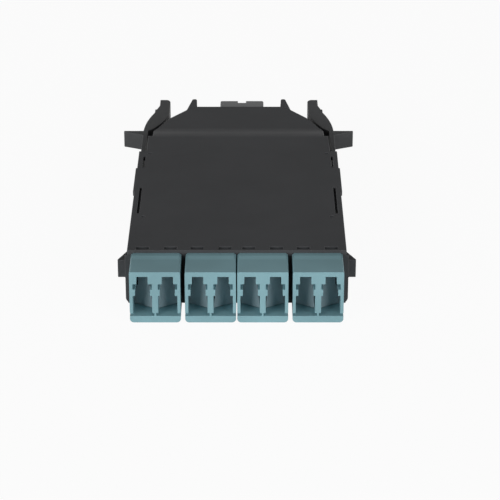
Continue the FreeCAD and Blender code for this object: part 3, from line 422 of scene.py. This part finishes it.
class NodeTree:
    """A Geometry Nodes tree with named inputs, built one node at a time."""

    def __init__(self, name, inputs):
        self.tree = bpy.data.node_groups.new(name, "GeometryNodeTree")
        self.tree.interface.new_socket("Geometry", in_out="INPUT", socket_type="NodeSocketGeometry")
        for label, kind in inputs.items():
            self.tree.interface.new_socket(label, in_out="INPUT", socket_type=kind)
        self.tree.interface.new_socket("Geometry", in_out="OUTPUT", socket_type="NodeSocketGeometry")
        self.given = self.tree.nodes.new("NodeGroupInput").outputs
        self.result = self.tree.nodes.new("NodeGroupOutput").inputs[0]

    def node(self, kind, inputs, settings=(), output=0):
        """Adds a node: its settings, then the values or links of its sockets; gives one output."""
        made = self.tree.nodes.new(kind)
        for name, value in dict(settings).items():
            setattr(made, name, value)
        for name, value in inputs.items():
            for link in value if isinstance(value, list) else [value]:
                if isinstance(link, bpy.types.NodeSocket):
                    self.tree.links.new(link, made.inputs[name])
                else:
                    made.inputs[name].default_value = link
        return made.outputs[output]

    def math(self, operation, first, second):
        return self.node("ShaderNodeMath", {0: first, 1: second}, {"operation": operation})

    def pair(self, reach):
        """Two points, at minus and plus the reach along X."""
        start = self.node("ShaderNodeCombineXYZ", {"X": self.math("MULTIPLY", reach, -1.0)})
        step = self.node("ShaderNodeCombineXYZ", {"X": self.math("MULTIPLY", reach, 2.0)})
        return self.node("GeometryNodeMeshLine", {"Count": 2, "Start Location": start, "Offset": step})

    def finish(self, shape, material):
        """Ends the tree: instances made real, smooth faces and the material."""
        real = self.node("GeometryNodeRealizeInstances", {"Geometry": shape})
        smooth = self.node("GeometryNodeSetShadeSmooth", {"Geometry": real})
        dressed = self.node("GeometryNodeSetMaterial", {"Geometry": smooth, "Material": material})
        self.tree.links.new(dressed, self.result)
        return self.tree


def port_places(nodes):
    """A point at each of the eight ports: four adapters, two ports to each."""
    given = nodes.given
    centres = [nodes.pair(given["Outer Adapter"]), nodes.pair(given["Inner Adapter"])]
    joined = nodes.node("GeometryNodeJoinGeometry", {"Geometry": centres})
    half_pitch = nodes.math("MULTIPLY", given["Port Pitch"], 0.5)
    ports = {"Points": joined, "Instance": nodes.pair(half_pitch)}
    placed = nodes.node("GeometryNodeInstanceOnPoints", ports)
    return nodes.node("GeometryNodeRealizeInstances", {"Geometry": placed})


PORT_SIZES = {"Outer Adapter": OUTER_ADAPTER_X, "Inner Adapter": INNER_ADAPTER_X, "Port Pitch": PORT_PITCH}
SLEEVE_SIZES = dict(PORT_SIZES, **{
    "Radius": SLEEVE_RADIUS, "Wall": SLEEVE_WALL, "Length": SLEEVE_LENGTH, "Slit": SLEEVE_SLIT,
    "Depth": SLEEVE_Y, "Axis": SLEEVE_Z,
})


def port_row_tree(name, material):
    """Sets the incoming piece, drawn about X = 0, behind each port."""
    nodes = NodeTree(name, {label: "NodeSocketFloat" for label in PORT_SIZES})
    inputs = {"Points": port_places(nodes), "Instance": nodes.given["Geometry"]}
    row = nodes.node("GeometryNodeInstanceOnPoints", inputs)
    return nodes.finish(row, material)


def sleeve_row_tree(name, material):
    """Sets a slit tube behind each port: a small rounded section led round an open arc."""
    nodes = NodeTree(name, {label: "NodeSocketFloat" for label in SLEEVE_SIZES})
    given = nodes.given
    slit_angle = nodes.math("DIVIDE", given["Slit"], given["Radius"])
    sweep = nodes.math("SUBTRACT", 2 * math.pi, slit_angle)
    start = nodes.math("MULTIPLY", slit_angle, 0.5)
    bend = {"Resolution": 48, "Radius": given["Radius"], "Start Angle": start, "Sweep Angle": sweep}
    arc = nodes.node("GeometryNodeCurveArc", bend, {"mode": "RADIUS"})
    blank = {"Width": given["Wall"], "Height": given["Length"]}
    section = nodes.node("GeometryNodeCurvePrimitiveQuadrilateral", blank, {"mode": "RECTANGLE"})
    edge = nodes.math("MULTIPLY", given["Wall"], 0.3)
    rounding = {"Curve": section, "Count": 2, "Radius": edge, "Limit Radius": True}
    soft = nodes.node("GeometryNodeFilletCurve", rounding, {"mode": "POLY"})
    swept = {"Curve": arc, "Profile Curve": soft, "Fill Caps": True}
    tube = nodes.node("GeometryNodeCurveToMesh", swept)
    place = nodes.node("ShaderNodeCombineXYZ", {"Y": given["Depth"], "Z": given["Axis"]})
    turned = {"Geometry": tube, "Translation": place, "Rotation": SLEEVE_TURN}
    placed = nodes.node("GeometryNodeTransform", turned)
    row = nodes.node("GeometryNodeInstanceOnPoints", {"Points": port_places(nodes), "Instance": placed})
    return nodes.finish(row, material)


def wire_tree(name, material):
    """A round wire with closed ends along the incoming path."""
    nodes = NodeTree(name, {"Wire Radius": "NodeSocketFloat", "Sides": "NodeSocketInt"})
    ring = {"Resolution": nodes.given["Sides"], "Radius": nodes.given["Wire Radius"]}
    circle = nodes.node("GeometryNodeCurvePrimitiveCircle", ring)
    swept = {"Curve": nodes.given["Geometry"], "Profile Curve": circle, "Fill Caps": True}
    return nodes.finish(nodes.node("GeometryNodeCurveToMesh", swept), material)


def grown(name, data, tree, sizes):
    """An object whose Geometry Nodes result has become its plain mesh."""
    piece = as_piece(name, data)
    modifier = piece.modifiers.new(tree.name, "NODES")
    modifier.node_group = tree
    for item in tree.interface.items_tree:
        if item.in_out == "INPUT" and item.name in sizes:
            modifier[item.identifier] = sizes[item.name]
    evaluated = piece.evaluated_get(bpy.context.evaluated_depsgraph_get())
    mesh = bpy.data.meshes.new_from_object(evaluated)
    mesh.name = name
    bpy.data.objects.remove(piece)
    return evened(as_piece(name, mesh))


def at_each_port(kind):
    """The CAD nodes of one kind, one for each port."""
    return [f"{kind}_{number}" for number in PORTS]


def port_row(kind, name, radius):
    """Eight like pieces behind the ports, from the first one's solid with its edges rounded."""
    nodes = at_each_port(kind)
    bm = merged_copy(nodes[0])
    round_edges(bm, radius)
    to_middle = OUTER_ADAPTER_X + PORT_PITCH / 2
    bmesh.ops.translate(bm, verts=bm.verts, vec=(to_middle, 0, 0))
    finish = SLOT_OF[nodes[0]]
    tree = port_row_tree(name + "_places", FINISHES[finish])
    declare(grown(name, as_mesh(bm, name, finish), tree, PORT_SIZES), nodes)


port_row("plug_body", "port_plugs", 0.05 * MM)
port_row("plug_ferrule", "port_ferrules", 0.03 * MM)

sleeve_tree = sleeve_row_tree("sleeve_places", FINISHES["ceramic_white"])
sleeves = grown("port_sleeves", bpy.data.meshes.new("blank"), sleeve_tree, SLEEVE_SIZES)
declare(sleeves, at_each_port("split_sleeve"))


def spring_path(name, side):
    """The spring wire's centre line: its tail, its coil and its arm; side is +1 on the right."""
    turns = COIL_TURNS + (COIL_END - COIL_START) / 360
    height = turns * COIL_PITCH
    low = SPRING_MIDDLE_Z - height / 2
    steps = round(turns * 360 / COIL_STEP)
    points = [(TAIL_X, PIVOT_Y + TAIL_RUN, low)]
    for step in range(steps + 1):
        share = step / steps
        turn = math.radians(COIL_START + share * turns * 360)
        across = COIL_RADIUS * math.cos(turn)
        along = COIL_RADIUS * math.sin(turn)
        points.append((PIVOT_X + across, PIVOT_Y + along, low + share * height))
    points.append((ARM_X, PIVOT_Y + ARM_BEND, low + height))
    points.append((ARM_X, PIVOT_Y + ARM_RUN, low + height))
    path = bpy.data.curves.new(name, "CURVE")
    path.dimensions = "3D"
    spline = path.splines.new("NURBS")
    spline.points.add(len(points) - 1)
    for point, (x, y, z) in zip(spline.points, points):
        point.co = (side * x, y, z, 1)
    spline.order_u = 3
    spline.use_endpoint_u = True
    spline.resolution_u = 3
    return path


wire = wire_tree("spring_wire", FINISHES["spring_steel"])
for hand, side in (("left", -1), ("right", 1)):
    name = f"{hand}_spring"
    piece = grown(name, spring_path(name, side), wire, {"Wire Radius": WIRE_RADIUS, "Sides": WIRE_SIDES})
    declare(piece, [f"lever_spring_{hand}"])


# CAD nodes whose shape is right take a better material
for node in at_each_port("fibre") + ["round_cable", "guide_pins", "pivot_pins", "plug_boot"]:
    for slot in frame["nodes"][node].material_slots:
        slot.material = FINISHES[SLOT_OF[node]]


# Stage, light and camera: strengths are shares of white, lamps in watts, places in metres

FLOOR_REACH = 2.5
FLOOR_GLOW = 0.94
SKY_SEEN = 0.88
SKY_LESS_IN_GLOSS = 0.68
SKY_LIGHT = 0.12
LAMP_AIM = (0, 0, 0)
LAMPS = (
    ("left_key", (-0.68, -0.81, 0.3), (0.6, 0.6), 6.5),
    ("right_key", (0.68, -0.81, 0.3), (0.6, 0.6), 4.9),
    ("left_fill", (-0.9, 0.6, 0.25), (0.6, 0.6), 1.2),
    ("right_fill", (0.9, 0.6, 0.25), (0.6, 0.6), 1.2),
    ("low_strip", (0, 0.9, 0.1), (1.2, 0.15), 0.42),
)
CAMERA_PLACE = (0.0033, -0.52846, 0.23756)
CAMERA_TILT = 65
CAMERA_LENS = 152.09


def seen_directly(start):
    """1 for rays from the camera, or by way of a mirror or clear piece; 0 for diffuse light."""
    rays = (CAMERA_RAY, GLOSSY_RAY, TRANSMISSION_RAY)
    camera, glossy, clear = (start.node("ShaderNodeLightPath", {}, {}, ray) for ray in rays)
    return start.math("MAXIMUM", start.math("MAXIMUM", camera, glossy), clear)


def white_floor():
    """A pale floor that the camera sees as white, with the part's shadow on it."""
    material, shader, start = new_material("pale_floor")
    coords = object_coords(start)
    tone = mix(noise(start, coords, 4.0), srgb(240, 240, 240), srgb(246, 246, 246))
    start.tree.links.new(tone.socket, shader.inputs["Base Color"])
    shader.inputs["Roughness"].default_value = 0.9
    glow = start.node("ShaderNodeEmission", {}, {"Color": (1, 1, 1, 1), "Strength": 1.0})
    seen = seen_directly(start) * FLOOR_GLOW
    plain = Signal(start.tree, shader.outputs[0])
    mixed = start.node("ShaderNodeMixShader", {}, {0: seen, 1: plain, 2: glow})
    output = start.tree.nodes["Material Output"]
    start.tree.links.new(mixed.socket, output.inputs["Surface"])
    return material


floor_mesh = bpy.data.meshes.new("floor")
corners = [(FLOOR_REACH * x, FLOOR_REACH * y, 0) for x, y in ((-1, -1), (1, -1), (1, 1), (-1, 1))]
floor_mesh.from_pydata(corners, [], [(0, 1, 2, 3)])
floor_mesh.materials.append(white_floor())
floor = as_piece("floor", floor_mesh)

world = bpy.data.worlds.new("studio")
bpy.context.scene.world = world
world.use_nodes = True
sky = Signal(world.node_tree)
background = world.node_tree.nodes["Background"]
background.inputs["Color"].default_value = (1, 1, 1, 1)
glossy = sky.node("ShaderNodeLightPath", {}, {}, GLOSSY_RAY)
strength = seen_directly(sky) * SKY_SEEN - glossy * SKY_LESS_IN_GLOSS + SKY_LIGHT
world.node_tree.links.new(strength.socket, background.inputs["Strength"])


def softbox(name, place, size, energy):
    """An area light, its width and height given, that faces the part."""
    data = bpy.data.lights.new(name, "AREA")
    data.shape = "RECTANGLE"
    data.size, data.size_y = size
    data.energy = energy
    lamp = bpy.data.objects.new(name, data)
    lamp.location = place
    lamp.rotation_euler = (Vector(LAMP_AIM) - Vector(place)).to_track_quat("-Z", "Y").to_euler()
    bpy.context.collection.objects.link(lamp)


for lamp_row in LAMPS:
    softbox(*lamp_row)

camera_data = bpy.data.cameras.new("camera")
camera_data.lens = CAMERA_LENS
camera_data.sensor_width = 36.0
camera_data.clip_start = 0.01
camera = bpy.data.objects.new("camera", camera_data)
camera.location = CAMERA_PLACE
camera.rotation_euler = (math.radians(CAMERA_TILT), 0, 0)
bpy.context.collection.objects.link(camera)
bpy.context.scene.camera = camera
bpy.context.scene.view_settings.view_transform = "Standard"
